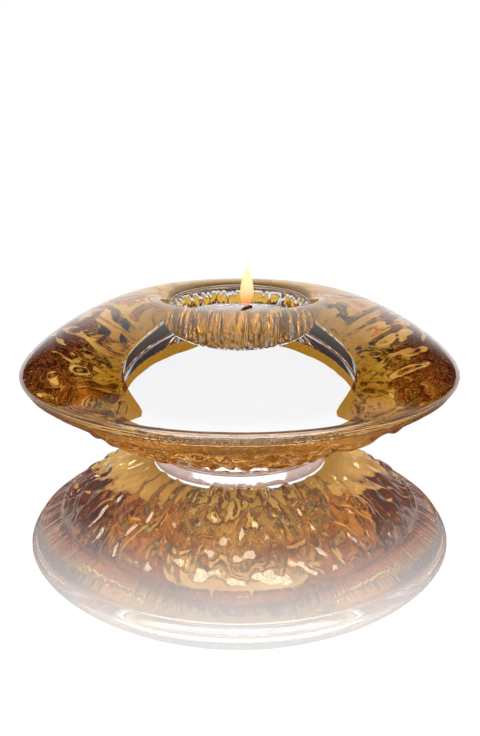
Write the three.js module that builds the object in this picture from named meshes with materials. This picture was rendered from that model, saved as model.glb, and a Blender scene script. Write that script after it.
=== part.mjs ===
// Tealight holder: a heavy domed disc of clear crystal on a short round foot, with an amber
// layer cased onto its ridged underside, and a tealight standing in the well in its top.
// Millimetres, +Z up, origin at the middle of the foot's flat base.

import * as THREE from 'three';

// Crystal body
const footRadius = 29;
const footChamfer = 0.6;
const footTop = 7.3; // the foot runs up inside the amber layer to here
const lipHeight = 49.1; // height of the lip round the well; the dome's crest is 1.5 higher
const domeStart = new THREE.Vector2(24, lipHeight);
const domeEnd = new THREE.Vector2(69.7, 29.4);
const rimPull = new THREE.Vector2(70.8, 27.6); // pulls the rounded edge out to a radius of 70
const seam = new THREE.Vector2(68, 25.2); // where the clear edge ends and the amber begins
const seamLedge = 1.4; // width of the ledge that the amber layer's edge meets

// Well for the tealight
const wellRadius = 22.4;
const wellTaper = 1.5; // the wall closes in by this much towards the floor
const wellFloor = 24.4;
const wellCorner = 2; // radius between wall and floor
const lipDrop = 2.6; // height of the rounding between the dome and the wall

// Amber layer
const touchGap = 0.3; // left between pieces that touch
const amberInnerBottom = 4.8; // lowest point of the layer, beside the foot
const ridgeCount = 24;
const ridgeHeight = 0.7;

// Tealight
const cupRadius = 19.1;
const cupTaper = 0.4;
const cupHeight = 19.3;
const cupWall = 0.5;
const waxDrop = 0.5; // from the cup's rim down to the wax
const wickRadius = 0.75;
const wickBore = wickRadius + touchGap;
const tabRadius = 6.2;
const tabPlate = 0.4;
const tabNeckRadius = 1.6;
const tabNeckHeight = 2.4;

// How finely the round shapes are cut
const bodySegments = 64;
const amberSegments = ridgeCount * 4;
const tealightSegments = 40;
const smallSegments = 16;

const cupBottom = wellFloor + touchGap;
const cupTop = cupBottom + cupHeight;
const cupInnerRadius = cupRadius - cupWall;
const waxBottom = cupBottom + cupWall + touchGap;
const waxTop = cupTop - waxDrop;
const waxRadius = cupInnerRadius - touchGap;

const point = (r, z) => new THREE.Vector2(r, z);

// A solid of revolution about Z from an outline of (radius, height) points.
function turned(outline, segments) {
  const geometry = new THREE.LatheGeometry(outline, segments);
  geometry.rotateX(Math.PI / 2);
  return geometry;
}

function piece(name, geometry, material) {
  const mesh = new THREE.Mesh(geometry, material);
  mesh.name = name;
  return mesh;
}

// The face between crystal and amber, from the foot out to the seam ledge.
function casingCurve(lowering) {
  return new THREE.CubicBezierCurve(
    point(footRadius, footTop - lowering),
    point(40.5, 8.2 - lowering),
    point(58.5, 21 - lowering),
    point(seam.x - seamLedge, seam.y - lowering)
  );
}

function crystalBody() {
  const dome = new THREE.CubicBezierCurve(domeEnd, point(66.4, 36.6), point(34, 56.3), domeStart);
  const rim = new THREE.QuadraticBezierCurve(seam, rimPull, domeEnd);
  const lip = new THREE.QuadraticBezierCurve(
    domeStart,
    point(wellRadius + 0.2, lipHeight - 1),
    point(wellRadius, lipHeight - lipDrop)
  );
  const floorRadius = wellRadius - wellTaper;
  const corner = new THREE.QuadraticBezierCurve(
    point(floorRadius, wellFloor + wellCorner),
    point(floorRadius, wellFloor),
    point(floorRadius - wellCorner, wellFloor)
  );
  const outline = [
    point(0, 0),
    point(footRadius - footChamfer, 0),
    point(footRadius, footChamfer),
    ...casingCurve(0).getPoints(8),
    ...rim.getPoints(6),
    ...dome.getPoints(12).slice(1),
    ...lip.getPoints(4).slice(1),
    ...corner.getPoints(4),
    point(0, wellFloor)
  ];
  const glass = new THREE.MeshStandardMaterial({ color: 0xf4f1ea, roughness: 0.03, metalness: 0 });
  return piece('crystal_body', turned(outline, bodySegments), glass);
}

// Ridges run outward from the foot, and fade out at the foot and at the seam.
function ridgeLift(x, y) {
  const radius = Math.hypot(x, y);
  const along = THREE.MathUtils.clamp((radius - footRadius) / (seam.x - footRadius), 0, 1);
  const angle = Math.atan2(y, x);
  return ridgeHeight * Math.sin(Math.PI * along) * (1 + Math.cos(ridgeCount * angle)) / 2;
}

function amberLayer() {
  const innerRadius = footRadius + touchGap;
  const underside = new THREE.CubicBezierCurve(
    point(innerRadius, amberInnerBottom),
    point(41.1, 5.7),
    point(61.8, 21.4),
    point(seam.x, seam.y - 2 * touchGap)
  );
  const inside = casingCurve(touchGap).getPoints(8).filter((p) => p.x > innerRadius);
  const undersidePoints = underside.getPoints(10);
  const outline = [
    ...undersidePoints,
    point(seam.x - touchGap, seam.y - touchGap),
    ...inside.reverse(),
    point(innerRadius, footTop - touchGap),
    undersidePoints[0].clone()
  ];
  const geometry = turned(outline, amberSegments);
  const positions = geometry.attributes.position;
  const rows = outline.length;
  for (let i = 0; i < positions.count; i++) {
    const row = i % rows;
    if (row > 0 && row < undersidePoints.length - 1) {
      const lift = ridgeLift(positions.getX(i), positions.getY(i));
      positions.setZ(i, positions.getZ(i) + lift);
    }
  }
  geometry.computeVertexNormals();
  const amber = new THREE.MeshStandardMaterial({ color: 0xae7328, roughness: 0.12, metalness: 0 });
  return piece('amber_layer', geometry, amber);
}

function tealightCup() {
  const outline = [
    point(0, cupBottom),
    point(cupRadius - cupTaper, cupBottom),
    point(cupRadius, cupTop),
    point(cupInnerRadius, cupTop),
    point(cupInnerRadius - cupTaper, cupBottom + cupWall),
    point(0, cupBottom + cupWall)
  ];
  const foil = new THREE.MeshStandardMaterial({ color: 0xc9cbcc, roughness: 0.3, metalness: 1 });
  return piece('tealight_cup', turned(outline, tealightSegments), foil);
}

// The wax has a recess in its base for the wick tab, and a bore up its middle for the wick.
function tealightWax() {
  const recessRadius = tabRadius + touchGap;
  const recessTop = waxBottom + tabPlate + touchGap;
  const neckRadius = tabNeckRadius + touchGap;
  const neckTop = recessTop + tabNeckHeight;
  const outline = [
    point(recessRadius, waxBottom),
    point(waxRadius - cupTaper, waxBottom),
    point(waxRadius, waxTop),
    point(wickBore, waxTop),
    point(wickBore, neckTop),
    point(neckRadius, neckTop),
    point(neckRadius, recessTop),
    point(recessRadius, recessTop),
    point(recessRadius, waxBottom)
  ];
  const wax = new THREE.MeshStandardMaterial({ color: 0xe6dcd4, roughness: 0.45, metalness: 0 });
  return piece('tealight_wax', turned(outline, tealightSegments), wax);
}

// A thin plate with a crimped neck, which holds the wick upright on the floor of the cup.
function wickTab() {
  const neckTop = waxBottom + tabPlate + tabNeckHeight;
  const outline = [
    point(wickBore, waxBottom),
    point(tabRadius, waxBottom),
    point(tabRadius, waxBottom + tabPlate),
    point(tabNeckRadius, waxBottom + tabPlate),
    point(tabNeckRadius, neckTop),
    point(wickBore, neckTop),
    point(wickBore, waxBottom)
  ];
  const tin = new THREE.MeshStandardMaterial({ color: 0xb9bcc0, roughness: 0.35, metalness: 1 });
  return piece('wick_tab', turned(outline, tealightSegments), tin);
}

// The wick stands up the middle of the wax and leans over to +X above it.
function wick() {
  const path = new THREE.CatmullRomCurve3([
    new THREE.Vector3(0, 0, waxBottom),
    new THREE.Vector3(0, 0, waxBottom + cupHeight / 2),
    new THREE.Vector3(0, 0, waxTop + 0.3),
    new THREE.Vector3(1.2, 0, waxTop + 1.7),
    new THREE.Vector3(3.4, 0, waxTop + 3)
  ]);
  const section = new THREE.Shape();
  section.absarc(0, 0, wickRadius, 0, 2 * Math.PI);
  const geometry = new THREE.ExtrudeGeometry(section, {
    curveSegments: smallSegments / 4,
    steps: 14,
    extrudePath: path,
    bevelEnabled: false
  });
  const charred = new THREE.MeshStandardMaterial({ color: 0x1b1614, roughness: 0.95, metalness: 0 });
  return piece('wick', geometry, charred);
}

const tealight = new THREE.Group();
tealight.add(tealightCup(), tealightWax(), wickTab(), wick());

const holder = new THREE.Group();
holder.add(crystalBody(), amberLayer(), tealight);

export default holder;
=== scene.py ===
import math
import bpy
import numpy as np
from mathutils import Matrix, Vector, noise


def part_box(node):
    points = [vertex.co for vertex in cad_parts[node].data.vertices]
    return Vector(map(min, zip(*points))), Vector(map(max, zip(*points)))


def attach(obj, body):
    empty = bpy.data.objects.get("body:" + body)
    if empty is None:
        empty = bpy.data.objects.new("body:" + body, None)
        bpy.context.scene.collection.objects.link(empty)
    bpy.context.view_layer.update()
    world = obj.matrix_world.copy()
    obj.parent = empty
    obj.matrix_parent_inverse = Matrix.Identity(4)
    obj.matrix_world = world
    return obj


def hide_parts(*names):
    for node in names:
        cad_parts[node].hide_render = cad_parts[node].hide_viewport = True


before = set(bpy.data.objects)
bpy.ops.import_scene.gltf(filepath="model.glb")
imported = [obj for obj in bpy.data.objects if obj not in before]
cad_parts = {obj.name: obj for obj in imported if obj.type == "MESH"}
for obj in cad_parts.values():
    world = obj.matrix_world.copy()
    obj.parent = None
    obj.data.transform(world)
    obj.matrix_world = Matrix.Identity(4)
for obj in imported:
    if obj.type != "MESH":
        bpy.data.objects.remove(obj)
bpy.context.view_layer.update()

mm = 0.001
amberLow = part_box("amber_layer")[0]
cupLow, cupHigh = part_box("tealight_cup")
waxLow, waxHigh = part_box("tealight_wax")
tabLow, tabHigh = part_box("wick_tab")
bpy.ops.object.select_all(action="DESELECT")

# the camera stands in front of the holder, a little above it
cameraSetup = {
    "sideways": 0.16 * mm,
    "distance": 239.7 * mm,
    "height": 92.6 * mm,
    "tiltDown": 15.6,
    "lens": 36.85,
    "nearest": 10 * mm,
}


def addCamera(setup):
    bpy.ops.object.camera_add(
        location=(setup["sideways"], -setup["distance"], setup["height"]),
        rotation=(math.radians(90 - setup["tiltDown"]), 0, 0),
    )
    camera = bpy.context.object
    camera.data.lens = setup["lens"]
    camera.data.clip_start = setup["nearest"]
    bpy.context.scene.camera = camera
    print("camera ready")


addCamera(cameraSetup)


# an outline is a list of (radius, height) points, and these add stretches to one
def cubicRun(start, pullA, pullB, end, count):
    a, b, c, d = (np.array(p) for p in (start, pullA, pullB, end))
    steps = np.linspace(0, 1, count + 1)[1:]
    return [tuple((1 - t) ** 3 * a + 3 * (1 - t) ** 2 * t * b + 3 * (1 - t) * t * t * c + t ** 3 * d)
            for t in steps]


def bowRun(start, pull, end, count):
    a, b, c = (np.array(p) for p in (start, pull, end))
    steps = np.linspace(0, 1, count + 1)[1:]
    return [tuple((1 - t) ** 2 * a + 2 * (1 - t) * t * b + t * t * c) for t in steps]


def straightRun(start, end, count):
    a, b = np.array(start), np.array(end)
    return [tuple(a + (b - a) * t) for t in np.linspace(0, 1, count + 1)[1:]]


mergeGap = 0.002 * mm


def turnOutline(name, outline, steps):
    # one vertex is drawn out along the outline, and the outline is then turned round Z
    bpy.ops.object.select_all(action="DESELECT")
    bpy.ops.mesh.primitive_plane_add(size=mm)
    piece = bpy.context.object
    piece.name = name
    bpy.ops.object.mode_set(mode="EDIT")
    bpy.ops.mesh.select_mode(type="VERT")
    bpy.ops.mesh.merge(type="CENTER")
    previous = outline[0]
    bpy.ops.transform.translate(value=(previous[0], 0, previous[1]))
    for spot in outline[1:]:
        move = (spot[0] - previous[0], 0, spot[1] - previous[1])
        bpy.ops.mesh.extrude_region_move(TRANSFORM_OT_translate={"value": move})
        previous = spot
    bpy.ops.object.mode_set(mode="OBJECT")
    turn = piece.modifiers.new("turn", "SCREW")
    turn.steps = turn.render_steps = steps
    turn.use_merge_vertices = True
    turn.merge_threshold = mergeGap
    bpy.ops.object.modifier_apply(modifier="turn")
    bpy.ops.object.mode_set(mode="EDIT")
    bpy.ops.mesh.select_all(action="SELECT")
    bpy.ops.mesh.remove_doubles(threshold=mergeGap)
    bpy.ops.mesh.normals_make_consistent(inside=False)
    bpy.ops.object.mode_set(mode="OBJECT")
    bpy.ops.object.shade_smooth()
    return piece


def readPoints(piece):
    points = np.zeros(len(piece.data.vertices) * 3)
    piece.data.vertices.foreach_get("co", points)
    return points.reshape(-1, 3)


def writePoints(piece, points):
    piece.data.vertices.foreach_set("co", points.ravel())
    piece.data.update()


def smoothStep(low, high, value):
    t = np.clip((value - low) / (high - low), 0, 1)
    return t * t * (3 - 2 * t)


def ringBand(radius, edges):
    # rises from the first edge to the second, stays at 1, and falls from the third to the fourth
    start, full, leave, end = edges
    return smoothStep(start, full, radius) * (1 - smoothStep(leave, end, radius))


def roundNoise(angle, along, turns, seed):
    # noise that closes on itself round the axis: turns is its rate round a circle
    spot = Vector((math.cos(angle) * turns, math.sin(angle) * turns, along + seed))
    return noise.noise(spot)


def plateau(value, steepness):
    # flattens the tops and bottoms of a wave and steepens its sides
    return math.tanh(value * steepness)


# effects that several materials share
def newGroup(name, inputs, outputs):
    group = bpy.data.node_groups.new(name, "ShaderNodeTree")
    for label, value in inputs:
        socket = group.interface.new_socket(label, in_out="INPUT", socket_type="NodeSocketFloat")
        socket.default_value = value
    for label in outputs:
        group.interface.new_socket(label, in_out="OUTPUT", socket_type="NodeSocketFloat")
    nodes = group.nodes
    return group, nodes, group.links, nodes.new("NodeGroupInput"), nodes.new("NodeGroupOutput")


def makeGrainGroup():
    # cloudy value between Low and High at a size given by Scale
    group, nodes, links, given, result = newGroup(
        "cloudyGrain", (("Scale", 200), ("Low", 0), ("High", 1)), ("Value",))
    place = nodes.new("ShaderNodeTexCoord")
    cloud = nodes.new("ShaderNodeTexNoise")
    cloud.inputs["Detail"].default_value = 3
    spread = nodes.new("ShaderNodeMapRange")
    spread.inputs["From Min"].default_value = 0.3
    spread.inputs["From Max"].default_value = 0.7
    links.new(place.outputs["Object"], cloud.inputs["Vector"])
    links.new(given.outputs["Scale"], cloud.inputs["Scale"])
    links.new(cloud.outputs["Fac"], spread.inputs["Value"])
    links.new(given.outputs["Low"], spread.inputs["To Min"])
    links.new(given.outputs["High"], spread.inputs["To Max"])
    links.new(spread.outputs["Result"], result.inputs["Value"])
    return group


def makeRingGroup():
    # 1 within Inner of the axis, falling smoothly to 0 at Outer
    group, nodes, links, given, result = newGroup("ringFade", (("Inner", 0.01), ("Outer", 0.02)), ("Mask",))
    place = nodes.new("ShaderNodeTexCoord")
    flat = nodes.new("ShaderNodeVectorMath")
    flat.operation = "MULTIPLY"
    flat.inputs[1].default_value = (1, 1, 0)
    reach = nodes.new("ShaderNodeVectorMath")
    reach.operation = "LENGTH"
    fade = nodes.new("ShaderNodeMapRange")
    fade.interpolation_type = "SMOOTHSTEP"
    fade.inputs["To Min"].default_value = 1
    fade.inputs["To Max"].default_value = 0
    links.new(place.outputs["Object"], flat.inputs[0])
    links.new(flat.outputs["Vector"], reach.inputs[0])
    links.new(reach.outputs["Value"], fade.inputs["Value"])
    links.new(given.outputs["Inner"], fade.inputs["From Min"])
    links.new(given.outputs["Outer"], fade.inputs["From Max"])
    links.new(fade.outputs["Result"], result.inputs["Mask"])
    return group


def makeHeightGroup():
    # 0 below Bottom, rising smoothly to 1 at Top
    group, nodes, links, given, result = newGroup("heightFade", (("Bottom", 0), ("Top", 0.01)), ("Mask",))
    place = nodes.new("ShaderNodeTexCoord")
    parts = nodes.new("ShaderNodeSeparateXYZ")
    fade = nodes.new("ShaderNodeMapRange")
    fade.interpolation_type = "SMOOTHSTEP"
    links.new(place.outputs["Object"], parts.inputs["Vector"])
    links.new(parts.outputs["Z"], fade.inputs["Value"])
    links.new(given.outputs["Bottom"], fade.inputs["From Min"])
    links.new(given.outputs["Top"], fade.inputs["From Max"])
    links.new(fade.outputs["Result"], result.inputs["Mask"])
    return group


cloudyGrain = makeGrainGroup()
ringFade = makeRingGroup()
heightFade = makeHeightGroup()


def newMaterial(name):
    material = bpy.data.materials.new(name)
    material.use_nodes = True
    nodes = material.node_tree.nodes
    return material, nodes, material.node_tree.links, nodes["Principled BSDF"]


def placeGroup(nodes, group, **values):
    node = nodes.new("ShaderNodeGroup")
    node.node_tree = group
    for label, value in values.items():
        node.inputs[label].default_value = value
    return node


def blendColours(nodes, links, mask, low, high):
    # low where the mask is 0, high where it is 1, and either may be another node's colour
    blend = nodes.new("ShaderNodeMix")
    blend.data_type = "RGBA"
    for index, colour in ((6, low), (7, high)):
        if isinstance(colour, tuple):
            blend.inputs[index].default_value = (*colour, 1)
        else:
            links.new(colour, blend.inputs[index])
    links.new(mask, blend.inputs[0])
    return blend.outputs[2]


def fadeNode(nodes, links, value, start, end):
    fade = nodes.new("ShaderNodeMapRange")
    fade.interpolation_type = "SMOOTHSTEP"
    fade.inputs["From Min"].default_value = start
    fade.inputs["From Max"].default_value = end
    links.new(value, fade.inputs["Value"])
    return fade.outputs["Result"]


def mathNode(nodes, links, operation, first, second):
    node = nodes.new("ShaderNodeMath")
    node.operation = operation
    for index, value in enumerate((first, second)):
        if isinstance(value, (int, float)):
            node.inputs[index].default_value = value
        else:
            links.new(value, node.inputs[index])
    return node.outputs["Value"]


def addBump(nodes, links, shader, height, distance, strength=1):
    bump = nodes.new("ShaderNodeBump")
    bump.inputs["Distance"].default_value = distance
    bump.inputs["Strength"].default_value = strength
    links.new(height, bump.inputs["Height"])
    links.new(bump.outputs["Normal"], shader.inputs["Normal"])


# outlines of the crystal, and of the amber cased under it
shape = {
    "footRadius": 29 * mm,
    "footBevel": 0.6 * mm,
    "casingStart": (29 * mm, 7.3 * mm),
    "casingPullA": (40.5 * mm, 8.2 * mm),
    "casingPullB": (58.5 * mm, 21 * mm),
    "casingEnd": (66.6 * mm, 25.2 * mm),
    "seam": (68 * mm, 25.2 * mm),
    "rimPull": (70.8 * mm, 27.6 * mm),
    "rimTop": (69.7 * mm, 29.4 * mm),
    "domePullA": (66.4 * mm, 36.6 * mm),
    "domePullB": (34 * mm, 56.3 * mm),
    "lipStart": (24 * mm, 49.1 * mm),
    "lipPull": (22.6 * mm, 48.1 * mm),
    "lipEnd": (22.4 * mm, 46.5 * mm),
    "wellRadius": 22.4 * mm,
    "wellTaper": 1.5 * mm,
    "wellFloor": 24.4 * mm,
    "wellCorner": 2 * mm,
    "undersidePullA": (41.1 * mm, 5.7 * mm),
    "undersidePullB": (61.8 * mm, 21.4 * mm),
    "undersideEnd": (68 * mm, 24.6 * mm),
    "contactGap": 0.03 * mm,
}


# how near a surface a point must be to count as part of it
wallReach = 0.2 * mm
lineReach = 0.12 * mm


def casingOutline(lowering, count):
    low = np.array((0, lowering))
    names = ("casingStart", "casingPullA", "casingPullB", "casingEnd")
    ends = [tuple(np.array(shape[key]) - low) for key in names]
    return [ends[0]] + cubicRun(*ends, count)


crystalSetup = {
    "steps": 1040,
    "broadRate": 17,
    "broadDepth": 0.3825 * mm,
    "broadSteepness": 6,
    "fineRate": 35.7,
    "fineDepth": 0.2975 * mm,
    "brokenRate": 18,
    "brokenDepth": 0.3 * mm,
    "brokenRise": (3 * mm, 9 * mm),
    "wallBand": 0.3 * mm,
    "floorRise": (0.3 * mm, 2 * mm),
    "lipFall": (-1.2 * mm, 1.5 * mm),
}


def ribWell(piece, setup):
    # the pressed wall of the well has fine upright ribs, broken up near the floor
    points = readPoints(piece)
    radius = np.hypot(points[:, 0], points[:, 1])
    floor = shape["wellFloor"]
    top = shape["lipEnd"][1]
    height = points[:, 2] - floor
    aboveLip = points[:, 2] - top
    onWall = (radius < shape["wellRadius"] + setup["wallBand"]) & (aboveLip < setup["lipFall"][1])
    onWall &= radius > shape["wellRadius"] - shape["wellTaper"] - shape["wellCorner"]
    fades = smoothStep(*setup["floorRise"], height)
    fades *= 1 - smoothStep(*setup["lipFall"], aboveLip)
    broken = 1 - smoothStep(*setup["brokenRise"], height)
    for index in np.nonzero(onWall & (fades > 0))[0]:
        x, y, z = points[index]
        angle = math.atan2(y, x)
        broad = plateau(roundNoise(angle, z * 40, setup["broadRate"], 3.1), setup["broadSteepness"])
        fine = roundNoise(angle, z * 60, setup["fineRate"], 8.7)
        push = setup["broadDepth"] * broad + setup["fineDepth"] * fine
        if broken[index] > 0:
            lump = roundNoise(angle, z * 900, setup["brokenRate"], 5.5)
            push += setup["brokenDepth"] * broken[index] * lump
        growth = 1 + push * fades[index] / radius[index]
        points[index, 0] = x * growth
        points[index, 1] = y * growth
    writePoints(piece, points)


def makeCrystal(setup):
    foot = shape["footRadius"]
    bevel = shape["footBevel"]
    floor = shape["wellFloor"]
    corner = shape["wellCorner"]
    inner = shape["wellRadius"] - shape["wellTaper"]
    outline = [(0.0, 0.0), (foot - bevel, 0.0)]
    outline += bowRun((foot - bevel, 0.0), (foot, 0.0), (foot, bevel), 3)
    outline += straightRun((foot, bevel), shape["casingStart"], 2)
    outline += casingOutline(0, 12)[1:]
    outline += straightRun(shape["casingEnd"], shape["seam"], 1)
    outline += bowRun(shape["seam"], shape["rimPull"], shape["rimTop"], 8)
    outline += cubicRun(shape["rimTop"], shape["domePullA"], shape["domePullB"], shape["lipStart"], 27)
    outline += bowRun(shape["lipStart"], shape["lipPull"], shape["lipEnd"], 6)
    outline += straightRun(shape["lipEnd"], (inner, floor + corner), 28)
    outline += bowRun((inner, floor + corner), (inner, floor), (inner - corner, floor), 5)
    outline += [(0.0, floor)]
    piece = turnOutline("crystalBody", outline, setup["steps"])
    ribWell(piece, setup)
    return piece


amberSetup = {
    "steps": 1120,
    "rows": 72,
    "bark": (29.1 * mm, 30.4 * mm, 56.8 * mm, 59.6 * mm),
    "warp": 0.09,
    "warpRate": 3,
    "ridgeDepth": 0.57 * mm,
    "ridgeRate": 13,
    "ridgeSteepness": 6,
    "cellDepth": 0.75 * mm,
    "cellRate": 9,
    "cellSteepness": 4,
    "grainDepth": 0.12 * mm,
    "grainRate": 26,
    "stepDepth": 0.9 * mm,
    "pleats": (60.2 * mm, 61.4 * mm, 65.5 * mm, 67.6 * mm),
    "pleatDepth": 0.55 * mm,
    "pleatRate": 44,
}


def barkRelief(angle, radius, setup):
    # irregular ridges that run outwards, cut across into flat facets
    warp = setup["warp"] * roundNoise(angle, radius * 90, setup["warpRate"], 11)
    ridge = plateau(roundNoise(angle + warp, radius * 30, setup["ridgeRate"], 0), setup["ridgeSteepness"])
    cell = plateau(roundNoise(angle - warp, radius * 210, setup["cellRate"], 5), setup["cellSteepness"])
    grain = roundNoise(angle, radius * 620, setup["grainRate"], 9)
    return setup["ridgeDepth"] * ridge + setup["cellDepth"] * cell + setup["grainDepth"] * grain


def pleatRelief(angle, radius, setup):
    return setup["pleatDepth"] * (1 - 2 * abs(roundNoise(angle, radius * 30, setup["pleatRate"], 2.0)))


def makeAmber(setup):
    gap = shape["contactGap"]
    inner = shape["footRadius"] + gap
    inside = [p for p in casingOutline(gap, 12) if p[0] > inner]
    start = (inner, amberLow.z)
    pulls = (shape["undersidePullA"], shape["undersidePullB"])
    outline = [start] + cubicRun(start, *pulls, shape["undersideEnd"], setup["rows"])
    undersideRadii = [p[0] for p in outline]
    undersideHeights = [p[1] for p in outline]
    topEdge = (shape["seam"][0] - 0.02 * mm, shape["seam"][1] - gap)
    outline += [topEdge] + inside[::-1] + [(inner, shape["casingStart"][1] - gap), start]
    piece = turnOutline("amberLayer", outline, setup["steps"])
    points = readPoints(piece)
    radius = np.hypot(points[:, 0], points[:, 1])
    level = np.interp(radius, undersideRadii, undersideHeights)
    onUnderside = np.abs(points[:, 2] - level) < 0.05 * mm
    onUnderside &= (radius > inner + wallReach) & (radius < setup["pleats"][3])
    inBark = ringBand(radius, setup["bark"])
    inPleat = ringBand(radius, setup["pleats"])
    for index in np.nonzero(onUnderside)[0]:
        x, y, z = points[index]
        angle = math.atan2(y, x)
        drop = setup["stepDepth"] * inBark[index]
        if inBark[index] > 0:
            drop += inBark[index] * barkRelief(angle, radius[index], setup)
        if inPleat[index] > 0:
            drop += inPleat[index] * pleatRelief(angle, radius[index], setup)
        points[index, 2] = z - drop
    writePoints(piece, points)
    return piece


glassSetup = {
    "index": 1.52,
    "wavySize": 60,
    "wavyBump": 0.02 * mm,
    "streakSize": 110,
    "clear": ((1, 1, 1), (0.985, 0.99, 1)),
    "outside": ((0.98, 0.73, 0.38), (0.82, 0.43, 0.14)),
    "deep": ((0.80, 0.41, 0.05), (0.34, 0.11, 0.01)),
    # painted shade and painted amber reflection for the foot's clear glass, at its bottom and at its top
    "footPaintedShadeTints": ((0.42, 0.24, 0.19), (0.12, 0.035, 0.015)),
    "sparkleTint": (1, 0.85, 0.6),
    "sparkleSize": 620,
    "sparkleBump": 0.03 * mm,
    "thin": (0.86, 0.50, 0.07),
    "thinStart": 58 * mm,
    "thinEnd": 65 * mm,
    "root": (0.40, 0.185, 0.012),
    "rootStart": 30 * mm,
    "rootEnd": 43 * mm,
}


def makeGlass(name, index, tints, setup, wavy=False, thinning=False):
    material, nodes, links, shader = newMaterial(name)
    shader.inputs["Roughness"].default_value = 0
    shader.inputs["IOR"].default_value = index
    shader.inputs["Transmission Weight"].default_value = 1
    cloud = placeGroup(nodes, cloudyGrain, Scale=setup["streakSize"])
    tint = blendColours(nodes, links, cloud.outputs["Value"], *tints)
    if thinning:
        # the amber layer is thickest by the foot, and thins out and pales towards the seam
        root = placeGroup(nodes, ringFade, Inner=setup["rootStart"], Outer=setup["rootEnd"])
        tint = blendColours(nodes, links, root.outputs["Mask"], tint, setup["root"])
        thick = placeGroup(nodes, ringFade, Inner=setup["thinStart"], Outer=setup["thinEnd"])
        tint = blendColours(nodes, links, thick.outputs["Mask"], setup["thin"], tint)
    links.new(tint, shader.inputs["Base Color"])
    if wavy:
        wave = placeGroup(nodes, cloudyGrain, Scale=setup["wavySize"])
        addBump(nodes, links, shader, wave.outputs["Value"], setup["wavyBump"])
    return material


def addSparkle(material, setup):
    # the amber's outer face is a little grainy from its mould, and its glints are warm
    nodes = material.node_tree.nodes
    shader = nodes["Principled BSDF"]
    shader.inputs["Specular Tint"].default_value = (*setup["sparkleTint"], 1)
    grain = placeGroup(nodes, cloudyGrain, Scale=setup["sparkleSize"])
    addBump(nodes, material.node_tree.links, shader, grain.outputs["Value"], setup["sparkleBump"])


def paintFaces(piece, materials, sort):
    # sort gives each face its slot from its radius and height
    for material in materials:
        piece.data.materials.append(material)
    count = len(piece.data.polygons)
    centres = np.zeros(count * 3)
    piece.data.polygons.foreach_get("center", centres)
    centres = centres.reshape(-1, 3)
    radius = np.hypot(centres[:, 0], centres[:, 1])
    slots = sort(radius, centres[:, 2]).astype(np.int32)
    piece.data.polygons.foreach_set("material_index", slots)
    piece.data.update()


casingLine = np.array(casingOutline(0, 200))


def isCasing(radius, height):
    line = np.interp(radius, casingLine[:, 0], casingLine[:, 1])
    onLine = (np.abs(height - line) < lineReach) & (radius > shape["footRadius"] - wallReach)
    onLine &= radius < shape["seam"][0]
    beside = (np.abs(radius - shape["footRadius"]) < wallReach) & (height > amberLow.z)
    beside &= height < shape["casingStart"][1] + wallReach
    return onLine | beside


def sortCrystal(radius, height):
    # polished, fused to the amber, or the foot's side
    onFoot = (radius > shape["footRadius"] - 0.5 * mm) & (radius < shape["footRadius"] + lineReach)
    onFoot &= (height > 0.1 * mm) & (height < amberLow.z)
    return isCasing(radius, height) + 2 * onFoot


def makeFootGlass(setup):
    # the foot's clear glass is given a dark amber tint that deepens towards its top: painted shade, and a
    # painted reflection of the amber layer above it
    material = makeGlass("footCrystal", setup["index"], setup["clear"], setup)
    nodes = material.node_tree.nodes
    links = material.node_tree.links
    glow = placeGroup(nodes, heightFade, Bottom=0.4 * mm, Top=amberLow.z)
    tint = blendColours(nodes, links, glow.outputs["Mask"], *setup["footPaintedShadeTints"])
    links.new(tint, nodes["Principled BSDF"].inputs["Base Color"])
    return material


crystal = makeCrystal(crystalSetup)
amber = makeAmber(amberSetup)
# fused faces have an index of 1, so light crosses from one glass to the other without bending
polished = makeGlass("polishedCrystal", glassSetup["index"], glassSetup["clear"], glassSetup, wavy=True)
fusedCrystal = makeGlass("fusedCrystal", 1, glassSetup["clear"], glassSetup)
amberGlass = makeGlass("amberGlass", glassSetup["index"], glassSetup["outside"], glassSetup, thinning=True)
addSparkle(amberGlass, glassSetup)
fusedAmber = makeGlass("fusedAmber", 1, glassSetup["deep"], glassSetup, thinning=True)
paintFaces(crystal, (polished, fusedCrystal, makeFootGlass(glassSetup)), sortCrystal)
paintFaces(amber, (amberGlass, fusedAmber), isCasing)
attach(crystal, "holder")
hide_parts("crystal_body")
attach(amber, "holder")
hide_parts("amber_layer")
print("crystal and amber ready", len(crystal.data.polygons), len(amber.data.polygons))


cupSetup = {
    "steps": 640,
    "wall": 0.3 * mm,
    "rimBead": 0.35 * mm,
    "flutes": 80,
    "fluteDepth": 0.14 * mm,
    "colour": (0.78, 0.79, 0.80),
    "worn": (0.62, 0.63, 0.65),
    "grain": 900,
    "sheenGrain": 300,
    "roughness": (0.2, 0.38),
    "bump": 0.02 * mm,
    "floorStep": 0.5 * mm,
    "stepStart": 9 * mm,
    "stepEnd": 11 * mm,
    "corner": 1 * mm,
    "lean": 0.5 * mm,
}


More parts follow.
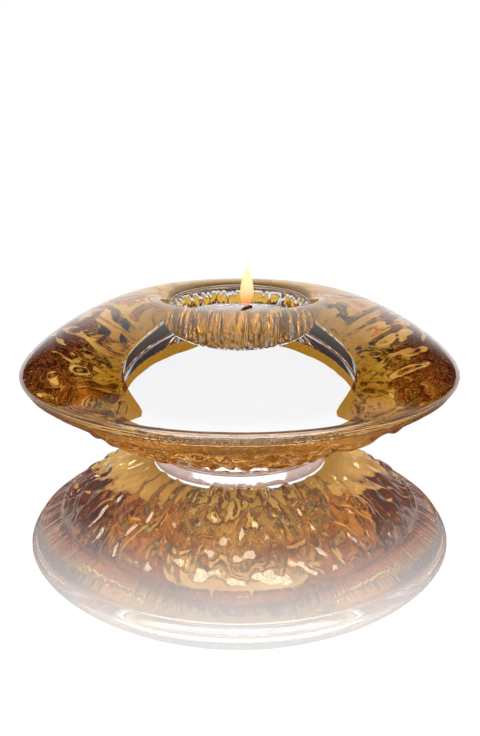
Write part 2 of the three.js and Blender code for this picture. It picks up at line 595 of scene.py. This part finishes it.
def makeCup(setup):
    # drawn from one disc of foil: a stepped floor, a fluted wall and a rolled rim
    wall = setup["wall"]
    bead = setup["rimBead"]
    bottom = cupLow.z
    top = cupHigh.z
    outer = cupHigh.x
    foot = outer - setup["lean"]
    corner = setup["corner"]
    stepStart = setup["stepStart"]
    stepEnd = setup["stepEnd"]
    raised = bottom + setup["floorStep"]
    outline = [(0.0, raised), (stepStart, raised)]
    outline += bowRun((stepStart, raised), (stepStart + 0.6 * mm, bottom), (stepEnd, bottom), 4)
    outline += straightRun((stepEnd, bottom), (foot - corner, bottom), 4)
    outline += bowRun((foot - corner, bottom), (foot, bottom), (foot, bottom + corner), 5)
    outline += straightRun((foot, bottom + corner), (outer - bead, top - 2 * bead), 24)
    outline += bowRun((outer - bead, top - 2 * bead), (outer, top - 2 * bead), (outer, top - bead), 4)
    outline += bowRun((outer, top - bead), (outer, top), (outer - bead, top), 4)
    outline += bowRun((outer - bead, top), (outer - 2 * bead, top), (outer - 2 * bead, top - bead), 4)
    inside = foot - wall
    floor = bottom + wall
    outline += straightRun((outer - 2 * bead, top - bead), (inside, floor + corner), 24)
    outline += bowRun((inside, floor + corner), (inside, floor), (inside - corner, floor), 5)
    outline += [(stepEnd, floor), (stepStart + 0.4 * mm, raised + wall), (0.0, raised + wall)]
    piece = turnOutline("tealightCup", outline, setup["steps"])
    points = readPoints(piece)
    radius = np.hypot(points[:, 0], points[:, 1])
    angle = np.arctan2(points[:, 1], points[:, 0])
    height = points[:, 2]
    onWall = smoothStep(foot - corner, foot - 0.4 * mm, radius)
    onWall *= 1 - smoothStep(top - 2.2 * mm, top - 1 * mm, height)
    onWall *= smoothStep(bottom + 0.2 * mm, bottom + 2 * mm, height)
    push = setup["fluteDepth"] * (np.cos(angle * setup["flutes"]) - 1) * 0.5 * onWall
    points[:, 0] += push * np.cos(angle)
    points[:, 1] += push * np.sin(angle)
    writePoints(piece, points)
    return piece


def makeMetal(name, setup):
    material, nodes, links, shader = newMaterial(name)
    shader.inputs["Metallic"].default_value = 1
    cloud = placeGroup(nodes, cloudyGrain, Scale=setup["grain"])
    smooth, dull = setup["roughness"]
    sheen = placeGroup(nodes, cloudyGrain, Scale=setup["sheenGrain"], Low=smooth, High=dull)
    colour = blendColours(nodes, links, cloud.outputs["Value"], setup["worn"], setup["colour"])
    links.new(colour, shader.inputs["Base Color"])
    links.new(sheen.outputs["Value"], shader.inputs["Roughness"])
    addBump(nodes, links, shader, cloud.outputs["Value"], setup["bump"])
    return material


cup = makeCup(cupSetup)
cup.data.materials.append(makeMetal("drawnFoil", cupSetup))
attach(cup, "tealight")
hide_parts("tealight_cup")
print("cup ready")


waxSetup = {
    "steps": 256,
    "poolRadius": 11 * mm,
    "poolDepth": 0.35 * mm,
    "meniscus": 0.35 * mm,
    "bore": 1.05 * mm,
    "neck": 1.9 * mm,
    "recessDepth": 0.7 * mm,
    "neckDepth": 2.4 * mm,
    "slack": 0.42 * mm,
    "ripple": 0.12 * mm,
    "set": (0.66, 0.57, 0.54),
    "paler": (0.72, 0.64, 0.61),
    "melted": (0.60, 0.50, 0.46),
    "dullRoughness": 0.42,
    "wetRoughness": 0.06,
}


def makeWax(setup):
    # one cast block, with a recess for the tab below, a melt pool above and an edge that climbs the cup
    top = waxHigh.z
    bottom = waxLow.z
    outer = waxHigh.x
    bore = setup["bore"]
    recess = tabHigh.x + 0.3 * mm
    neck = setup["neck"]
    recessTop = bottom + setup["recessDepth"]
    neckTop = recessTop + setup["neckDepth"]
    side = outer - setup["slack"]
    pool = setup["poolRadius"]
    surface = top - setup["meniscus"]
    melted = surface - setup["poolDepth"]
    outline = [(recess, bottom)]
    outline += straightRun((recess, bottom), (outer - 1.4 * mm, bottom), 3)
    outline += bowRun((outer - 1.4 * mm, bottom), (side - 0.03 * mm, bottom), (side, bottom + 1 * mm), 4)
    outline += straightRun((side, bottom + 1 * mm), (outer, top), 8)
    outline += bowRun((outer, top), (outer - 0.25 * mm, surface), (outer - 1.6 * mm, surface), 6)
    outline += straightRun((outer - 1.6 * mm, surface), (pool + 1 * mm, surface), 5)
    outline += bowRun((pool + 1 * mm, surface), (pool, surface), (pool - 0.6 * mm, melted), 6)
    outline += straightRun((pool - 0.6 * mm, melted), (bore + 0.8 * mm, melted), 6)
    outline += bowRun((bore + 0.8 * mm, melted), (bore, melted), (bore, melted + 0.25 * mm), 4)
    outline += [(bore, neckTop), (neck, neckTop), (neck, recessTop), (recess, recessTop), (recess, bottom)]
    piece = turnOutline("tealightWax", outline, setup["steps"])
    points = readPoints(piece)
    radius = np.hypot(points[:, 0], points[:, 1])
    onTop = (radius > pool + 1.2 * mm) & (radius < outer - 1.2 * mm) & (points[:, 2] > melted)
    for index in np.nonzero(onTop)[0]:
        x, y, z = points[index]
        points[index, 2] = z + setup["ripple"] * noise.noise(Vector((x * 260, y * 260, 1.5)))
    writePoints(piece, points)
    return piece


def makeWaxMaterial(setup):
    material, nodes, links, shader = newMaterial("castWax")
    shader.inputs["Subsurface Weight"].default_value = 0.35
    shader.inputs["Subsurface Radius"].default_value = (1, 0.6, 0.4)
    shader.inputs["Subsurface Scale"].default_value = 2 * mm
    edge = setup["poolRadius"]
    pool = placeGroup(nodes, ringFade, Inner=edge - 0.8 * mm, Outer=edge + 0.6 * mm)
    cloud = placeGroup(nodes, cloudyGrain, Scale=260)
    mottle = blendColours(nodes, links, cloud.outputs["Value"], setup["set"], setup["paler"])
    colour = blendColours(nodes, links, pool.outputs["Mask"], mottle, setup["melted"])
    links.new(colour, shader.inputs["Base Color"])
    gloss = nodes.new("ShaderNodeMapRange")
    gloss.inputs["To Min"].default_value = setup["dullRoughness"]
    gloss.inputs["To Max"].default_value = setup["wetRoughness"]
    links.new(pool.outputs["Mask"], gloss.inputs["Value"])
    links.new(gloss.outputs["Result"], shader.inputs["Roughness"])
    grain = placeGroup(nodes, cloudyGrain, Scale=1400)
    addBump(nodes, links, shader, grain.outputs["Value"], 0.015 * mm)
    return material


wax = makeWax(waxSetup)
wax.data.materials.append(makeWaxMaterial(waxSetup))
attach(wax, "candle")
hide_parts("tealight_wax")
print("wax ready")


tabSetup = {
    "steps": 192,
    "plate": 0.4 * mm,
    "neck": 1.6 * mm,
    "bore": 1.05 * mm,
    "dimples": 4,
    "dimpleDepth": 0.12 * mm,
    "dimpleHalf": 0.5 * mm,
    "colour": (0.66, 0.67, 0.68),
    "worn": (0.5, 0.5, 0.51),
    "grain": 1600,
    "sheenGrain": 500,
    "roughness": (0.25, 0.45),
    "bump": 0.01 * mm,
}


def makeTab(setup):
    # a pressed disc with a turned-down edge and a crimped neck that grips the wick
    bottom = tabLow.z
    top = tabHigh.z
    plate = setup["plate"]
    outer = tabHigh.x
    neck = setup["neck"]
    bore = setup["bore"]
    face = bottom + plate
    edge = outer - 0.4 * mm
    shoulder = face + 0.6 * mm
    outline = [(bore, bottom + 0.1 * mm), (edge, bottom + 0.1 * mm), (outer - 0.2 * mm, bottom)]
    outline += bowRun((outer - 0.2 * mm, bottom), (outer, bottom), (outer, bottom + 0.2 * mm), 3)
    outline += bowRun((outer, bottom + 0.2 * mm), (outer, face), (edge, face), 4)
    outline += straightRun((edge, face), (neck + 0.7 * mm, face), 4)
    outline += bowRun((neck + 0.7 * mm, face), (neck, face), (neck, shoulder), 4)
    outline += straightRun((neck, shoulder), (neck, top - 0.1 * mm), 6)
    outline += [(neck - 0.1 * mm, top), (bore + 0.1 * mm, top), (bore, top - 0.1 * mm)]
    outline += straightRun((bore, top - 0.1 * mm), (bore, bottom + 0.1 * mm), 6)
    piece = turnOutline("wickTab", outline, setup["steps"])
    points = readPoints(piece)
    radius = np.hypot(points[:, 0], points[:, 1])
    angle = np.arctan2(points[:, 1], points[:, 0])
    fromMiddle = points[:, 2] - (face + top) / 2
    onNeck = (np.abs(radius - neck) < lineReach) & (points[:, 2] > face)
    band = np.exp(-(fromMiddle / setup["dimpleHalf"]) ** 2) * onNeck
    crimp = setup["dimpleDepth"] * np.maximum(np.cos(angle * setup["dimples"]), 0) ** 2 * band
    points[:, 0] -= crimp * np.cos(angle)
    points[:, 1] -= crimp * np.sin(angle)
    writePoints(piece, points)
    return piece


tab = makeTab(tabSetup)
tab.data.materials.append(makeMetal("plainTinplate", tabSetup))
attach(tab, "candle")
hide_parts("wick_tab")
print("wick tab ready")


# the wick stands in the wax and leans over to +X above it, with a charred hook at its tip
wickSetup = {
    "sides": 24,
    "radius": 0.62 * mm,
    "braid": 0.1 * mm,
    "strands": 3,
    "pitch": 2.2 * mm,
    "rings": 30,
    "ringGap": 0.16 * mm,
    "lean": [(0, 0.3), (0.5, 1.0), (1.3, 1.75), (2.3, 2.35),
             (3.1, 2.75), (3.55, 2.7), (3.75, 2.3), (3.7, 1.95)],
    "fresh": ((0.62, 0.55, 0.46), (0.78, 0.72, 0.63)),
    "burnt": ((0.004, 0.004, 0.004), (0.03, 0.026, 0.024)),
    "grain": 2600,
    "bump": 0.05 * mm,
}


def wickRoute(setup):
    top = waxHigh.z
    route = [(0.0, z) for z in np.linspace(waxLow.z + 0.1 * mm, top, setup["rings"])]
    corners = np.array([(x * mm, top + z * mm) for x, z in setup["lean"]])
    reach = np.concatenate(([0], np.cumsum(np.hypot(*np.diff(corners, axis=0).T))))
    for along in np.arange(0, reach[-1], setup["ringGap"]):
        route.append((np.interp(along, reach, corners[:, 0]), np.interp(along, reach, corners[:, 1])))
    smooth = np.array(route)
    for rounding in range(3):
        smooth[1:-1] = (smooth[:-2] + 2 * smooth[1:-1] + smooth[2:]) / 4
    return smooth


def makeWick(setup):
    route = wickRoute(setup)
    bpy.ops.object.select_all(action="DESELECT")
    start = (route[0][0], 0, route[0][1])
    bpy.ops.mesh.primitive_circle_add(
        vertices=setup["sides"], radius=setup["radius"], fill_type="NGON", location=start)
    piece = bpy.context.object
    piece.name = "wickBraid"
    bpy.ops.object.transform_apply(location=True, rotation=True, scale=True)
    bpy.ops.object.mode_set(mode="EDIT")
    bpy.ops.mesh.select_all(action="SELECT")
    for step in np.diff(route, axis=0):
        bpy.ops.mesh.extrude_region_move(TRANSFORM_OT_translate={"value": (step[0], 0, step[1])})
    bpy.ops.object.mode_set(mode="OBJECT")
    # each ring is set square to the route, and the strands of the braid stand out of it
    points = readPoints(piece)
    sides = setup["sides"]
    ways = np.gradient(route, axis=0)
    reach = np.concatenate(([0], np.cumsum(np.hypot(*np.diff(route, axis=0).T))))
    for ring, spot in enumerate(route):
        along = ways[ring] / np.hypot(*ways[ring])
        across = np.array((along[1], -along[0]))
        ends = 1 - 0.55 * smoothStep(reach[-1] - 0.5 * mm, reach[-1], reach[ring])
        for side in range(sides):
            angle = 2 * math.pi * side / sides
            strand = setup["strands"] * angle
            twist = 2 * math.pi * reach[ring] / setup["pitch"]
            swell = max(math.cos(strand + twist), math.cos(strand - twist))
            fray = noise.noise(Vector((angle * 2, reach[ring] * 1500, 0.3)))
            radius = (setup["radius"] + setup["braid"] * (swell - 0.6 + 0.5 * fray)) * ends
            offset = across * math.cos(angle) * radius
            index = ring * sides + side
            points[index] = (spot[0] + offset[0], math.sin(angle) * radius, spot[1] + offset[1])
    writePoints(piece, points)
    bpy.ops.object.mode_set(mode="EDIT")
    bpy.ops.mesh.select_all(action="SELECT")
    bpy.ops.mesh.normals_make_consistent(inside=False)
    bpy.ops.object.mode_set(mode="OBJECT")
    bpy.ops.object.shade_smooth()
    return piece


def makeCotton(setup):
    material, nodes, links, shader = newMaterial("charredCotton")
    top = waxHigh.z
    char = placeGroup(nodes, heightFade, Bottom=top - 0.6 * mm, Top=top + 0.4 * mm)
    cloud = placeGroup(nodes, cloudyGrain, Scale=setup["grain"])
    fresh = blendColours(nodes, links, cloud.outputs["Value"], *setup["fresh"])
    burnt = blendColours(nodes, links, cloud.outputs["Value"], *setup["burnt"])
    links.new(blendColours(nodes, links, char.outputs["Mask"], fresh, burnt), shader.inputs["Base Color"])
    rough = placeGroup(nodes, cloudyGrain, Scale=setup["grain"], Low=0.7, High=1)
    links.new(rough.outputs["Value"], shader.inputs["Roughness"])
    addBump(nodes, links, shader, cloud.outputs["Value"], setup["bump"])
    return material


wick = makeWick(wickSetup)
wick.data.materials.append(makeCotton(wickSetup))
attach(wick, "candle")
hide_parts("wick")
print("wick ready", len(wick.data.polygons))


# three nested skins, each a little smaller and denser, make the flame's soft edge
flameSetup = {
    "steps": 64,
    "place": 2.25 * mm,
    "bottom": 2.5 * mm,
    "height": 16.0 * mm,
    "radius": 2.2 * mm,
    "skins": (1.0, 0.86, 0.7),
    "sway": 0.35 * mm,
    "pale": (1.0, 0.80, 0.42),
    "orange": (1.0, 0.30, 0.06),
    "brightness": 1.25,
    "bellyAt": 0.3,
    "faintest": 0.08,
    "densest": 0.5,
}


def makeFlame(setup):
    skins = []
    base = waxHigh.z + setup["bottom"]
    for number, share in enumerate(setup["skins"]):
        bottom = base + (1 - share) * setup["radius"]
        height = setup["height"] * (1 - 0.6 * (1 - share)) - (bottom - base)
        wide = setup["radius"] * share
        low = (0.0, bottom)
        belly = (wide, bottom + setup["bellyAt"] * height)
        tip = (0.0, bottom + height)
        outline = [low]
        outline += cubicRun(low, (wide * 0.7, bottom), (wide, belly[1] - 0.16 * height), belly, 12)
        shoulder = (wide, belly[1] + 0.25 * height)
        outline += cubicRun(belly, shoulder, (wide * 0.28, bottom + 0.78 * height), tip, 22)
        skins.append(turnOutline("flameSkin%d" % number, outline, setup["steps"]))
    bpy.ops.object.select_all(action="DESELECT")
    for skin in skins:
        skin.select_set(True)
    bpy.context.view_layer.objects.active = skins[0]
    bpy.ops.object.join()
    piece = bpy.context.object
    piece.name = "flame"
    points = readPoints(piece)
    rise = (points[:, 2] - base) / setup["height"]
    points[:, 0] += setup["place"] + setup["sway"] * np.sin(rise * 4.2) * rise
    writePoints(piece, points)
    return piece


def makeFlameMaterial(setup):
    material, nodes, links, shader = newMaterial("candleFlame")
    base = waxHigh.z + setup["bottom"]
    top = base + setup["height"]
    shader.inputs["Base Color"].default_value = (0, 0, 0, 1)
    shader.inputs["Roughness"].default_value = 1
    shader.inputs["Specular IOR Level"].default_value = 0
    shader.inputs["Emission Strength"].default_value = setup["brightness"]
    warm = placeGroup(nodes, heightFade, Bottom=base, Top=base + 0.55 * setup["height"])
    colour = blendColours(nodes, links, warm.outputs["Mask"], setup["orange"], setup["pale"])
    links.new(colour, shader.inputs["Emission Color"])
    root = placeGroup(nodes, heightFade, Bottom=base - 1 * mm, Top=base + 0.42 * setup["height"])
    tip = placeGroup(nodes, heightFade, Bottom=base + 0.6 * setup["height"], Top=top)
    body = mathNode(nodes, links, "SUBTRACT", root.outputs["Mask"], tip.outputs["Mask"])
    veil = nodes.new("ShaderNodeMapRange")
    veil.inputs["To Min"].default_value = setup["faintest"]
    veil.inputs["To Max"].default_value = setup["densest"]
    links.new(body, veil.inputs["Value"])
    links.new(veil.outputs["Result"], shader.inputs["Alpha"])
    return material


flame = makeFlame(flameSetup)
flame.data.materials.append(makeFlameMaterial(flameSetup))
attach(flame, "candle")
print("flame ready")


# the stand is white and mirror-bright under the holder, and plainer further out
floorSetup = {
    "size": 6,
    "below": 0.1 * mm,
    "bright": (1.14, 1.14, 1.14),
    # the next three give the floor's painted shadow round the holder, as seen through the glass: its dark
    # amber colour, and where it fades out
    "paintedShadeThroughGlass": (0.085, 0.05, 0.03),
    "dimInner": 150 * mm,
    "dimOuter": 400 * mm,
    "mirrorNear": 0.97,
    "mirrorFar": 0.12,
    "inner": 64 * mm,
    "outer": 135 * mm,
}


def addFloor(setup):
    bpy.ops.mesh.primitive_plane_add(size=setup["size"], location=(0, 0, -setup["below"]))
    floor = bpy.context.object
    floor.name = "floor"
    material, nodes, links, shader = newMaterial("glossyWhite")
    nodes.remove(shader)
    glow = nodes.new("ShaderNodeEmission")
    path = nodes.new("ShaderNodeLightPath")
    # seen through the glass, the floor is painted dark amber-brown near the holder, fading back to white
    # further out: a painted shadow of the holder, tinted with painted amber light
    through = mathNode(nodes, links, "MINIMUM", path.outputs["Transmission Depth"], 1)
    near = placeGroup(nodes, ringFade, Inner=setup["dimInner"], Outer=setup["dimOuter"])
    paintedShadow = mathNode(nodes, links, "MULTIPLY", through, near.outputs["Mask"])
    colour = blendColours(nodes, links, paintedShadow, setup["bright"], setup["paintedShadeThroughGlass"])
    links.new(colour, glow.inputs["Color"])
    mirror = nodes.new("ShaderNodeBsdfGlossy")
    mirror.inputs["Roughness"].default_value = 0
    mirror.inputs["Color"].default_value = (1, 1, 1, 1)
    reach = placeGroup(nodes, ringFade, Inner=setup["inner"], Outer=setup["outer"])
    share = nodes.new("ShaderNodeMapRange")
    share.inputs["To Min"].default_value = setup["mirrorFar"]
    share.inputs["To Max"].default_value = setup["mirrorNear"]
    links.new(reach.outputs["Mask"], share.inputs["Value"])
    mixed = nodes.new("ShaderNodeMixShader")
    links.new(share.outputs["Result"], mixed.inputs["Fac"])
    links.new(glow.outputs["Emission"], mixed.inputs[1])
    links.new(mirror.outputs["BSDF"], mixed.inputs[2])
    links.new(mixed.outputs["Shader"], nodes["Material Output"].inputs["Surface"])
    floor.data.materials.append(material)


worldSetup = {
    "ceiling": (0.86, 0.97),
    "flags": (0.56, 0.8),
    "front": (0.35, 0.05),
    "frontColour": (0.12, 0.055, 0.03),
    "stripSpacing": 0.16,
    "stripEdge": (0.1, 0.125),
    "stripColour": (3.6, 3.0, 2.3),
    "dark": (0.012, 0.010, 0.009),
    "fringe": (0.45, 0.62, 0.95),
    "overheadRise": (0.68, 0.9),
    "outerFlags": (0.32, 0.58),
    "outerFlagsDepth": (0, 0.2),
    "overheadColour": (0.035, 0.034, 0.035),
    "softbox": 40,
    "softboxAcross": (-0.35, -0.6),
    "softboxRise": (0.0, 0.15),
}


def addStudio(setup):
    # through the glass: a white backdrop behind, dark flags overhead and beside, and a dim front with
    # bright strips; in reflections on its outside: white, dark flags, and a softbox in front
    world = bpy.data.worlds.new("studio")
    bpy.context.scene.world = world
    world.use_nodes = True
    nodes = world.node_tree.nodes
    links = world.node_tree.links
    background = nodes["Background"]
    way = nodes.new("ShaderNodeTexCoord")
    parts = nodes.new("ShaderNodeSeparateXYZ")
    links.new(way.outputs["Generated"], parts.inputs["Vector"])
    path = nodes.new("ShaderNodeLightPath")
    through = mathNode(nodes, links, "MINIMUM", path.outputs["Transmission Depth"], 1)
    outer = mathNode(nodes, links, "SUBTRACT", path.outputs["Is Glossy Ray"], through)
    outer = mathNode(nodes, links, "MAXIMUM", outer, 0)
    # what outer reflections see
    overhead = fadeNode(nodes, links, parts.outputs["Z"], *setup["overheadRise"])
    sideways = mathNode(nodes, links, "ABSOLUTE", parts.outputs["X"], 0)
    beside = fadeNode(nodes, links, sideways, *setup["outerFlags"])
    behind = fadeNode(nodes, links, parts.outputs["Y"], *setup["outerFlagsDepth"])
    beside = mathNode(nodes, links, "MULTIPLY", beside, behind)
    overhead = mathNode(nodes, links, "MAXIMUM", overhead, beside)
    # a second reflection, as under the rim, sees only the softbox
    often = mathNode(nodes, links, "GREATER_THAN", path.outputs["Glossy Depth"], 1.5)
    across = fadeNode(nodes, links, parts.outputs["Y"], *setup["softboxAcross"])
    rise = fadeNode(nodes, links, parts.outputs["Z"], *setup["softboxRise"])
    box = mathNode(nodes, links, "MULTIPLY", across, rise)
    beyond = mathNode(nodes, links, "SUBTRACT", often, box)
    overhead = mathNode(nodes, links, "MAXIMUM", overhead, beyond)
    overhead = mathNode(nodes, links, "MULTIPLY", overhead, outer)
    room = blendColours(nodes, links, overhead, (1, 1, 1), setup["overheadColour"])
    # what is seen through the glass
    front = fadeNode(nodes, links, parts.outputs["Y"], *setup["front"])
    front = mathNode(nodes, links, "MULTIPLY", front, through)
    fromStrip = mathNode(nodes, links, "PINGPONG", sideways, setup["stripSpacing"])
    strip = fadeNode(nodes, links, fromStrip, *setup["stripEdge"])
    lit = blendColours(nodes, links, strip, setup["frontColour"], setup["stripColour"])
    room = blendColours(nodes, links, front, room, lit)
    flags = fadeNode(nodes, links, sideways, *setup["flags"])
    ceiling = fadeNode(nodes, links, parts.outputs["Z"], *setup["ceiling"])
    either = mathNode(nodes, links, "MAXIMUM", ceiling, flags)
    only = mathNode(nodes, links, "MULTIPLY", either, through)
    edge = fadeNode(nodes, links, only, 0, 0.5)
    deep = fadeNode(nodes, links, only, 0.3, 1)
    room = blendColours(nodes, links, edge, room, setup["fringe"])
    links.new(blendColours(nodes, links, deep, room, setup["dark"]), background.inputs["Color"])
    seen = mathNode(nodes, links, "MULTIPLY", box, outer)
    seen = mathNode(nodes, links, "MULTIPLY", seen, often)
    lift = mathNode(nodes, links, "MULTIPLY", seen, setup["softbox"])
    links.new(mathNode(nodes, links, "ADD", lift, 1), background.inputs["Strength"])


addFloor(floorSetup)
addStudio(worldSetup)

# light crosses many glass faces before it leaves
deepBounces = 40
glossyBounces = 24
scene = bpy.context.scene
scene.view_settings.view_transform = "Standard"
scene.cycles.max_bounces = deepBounces
scene.cycles.transmission_bounces = deepBounces
scene.cycles.glossy_bounces = glossyBounces
scene.cycles.transparent_max_bounces = glossyBounces
print("stage ready")
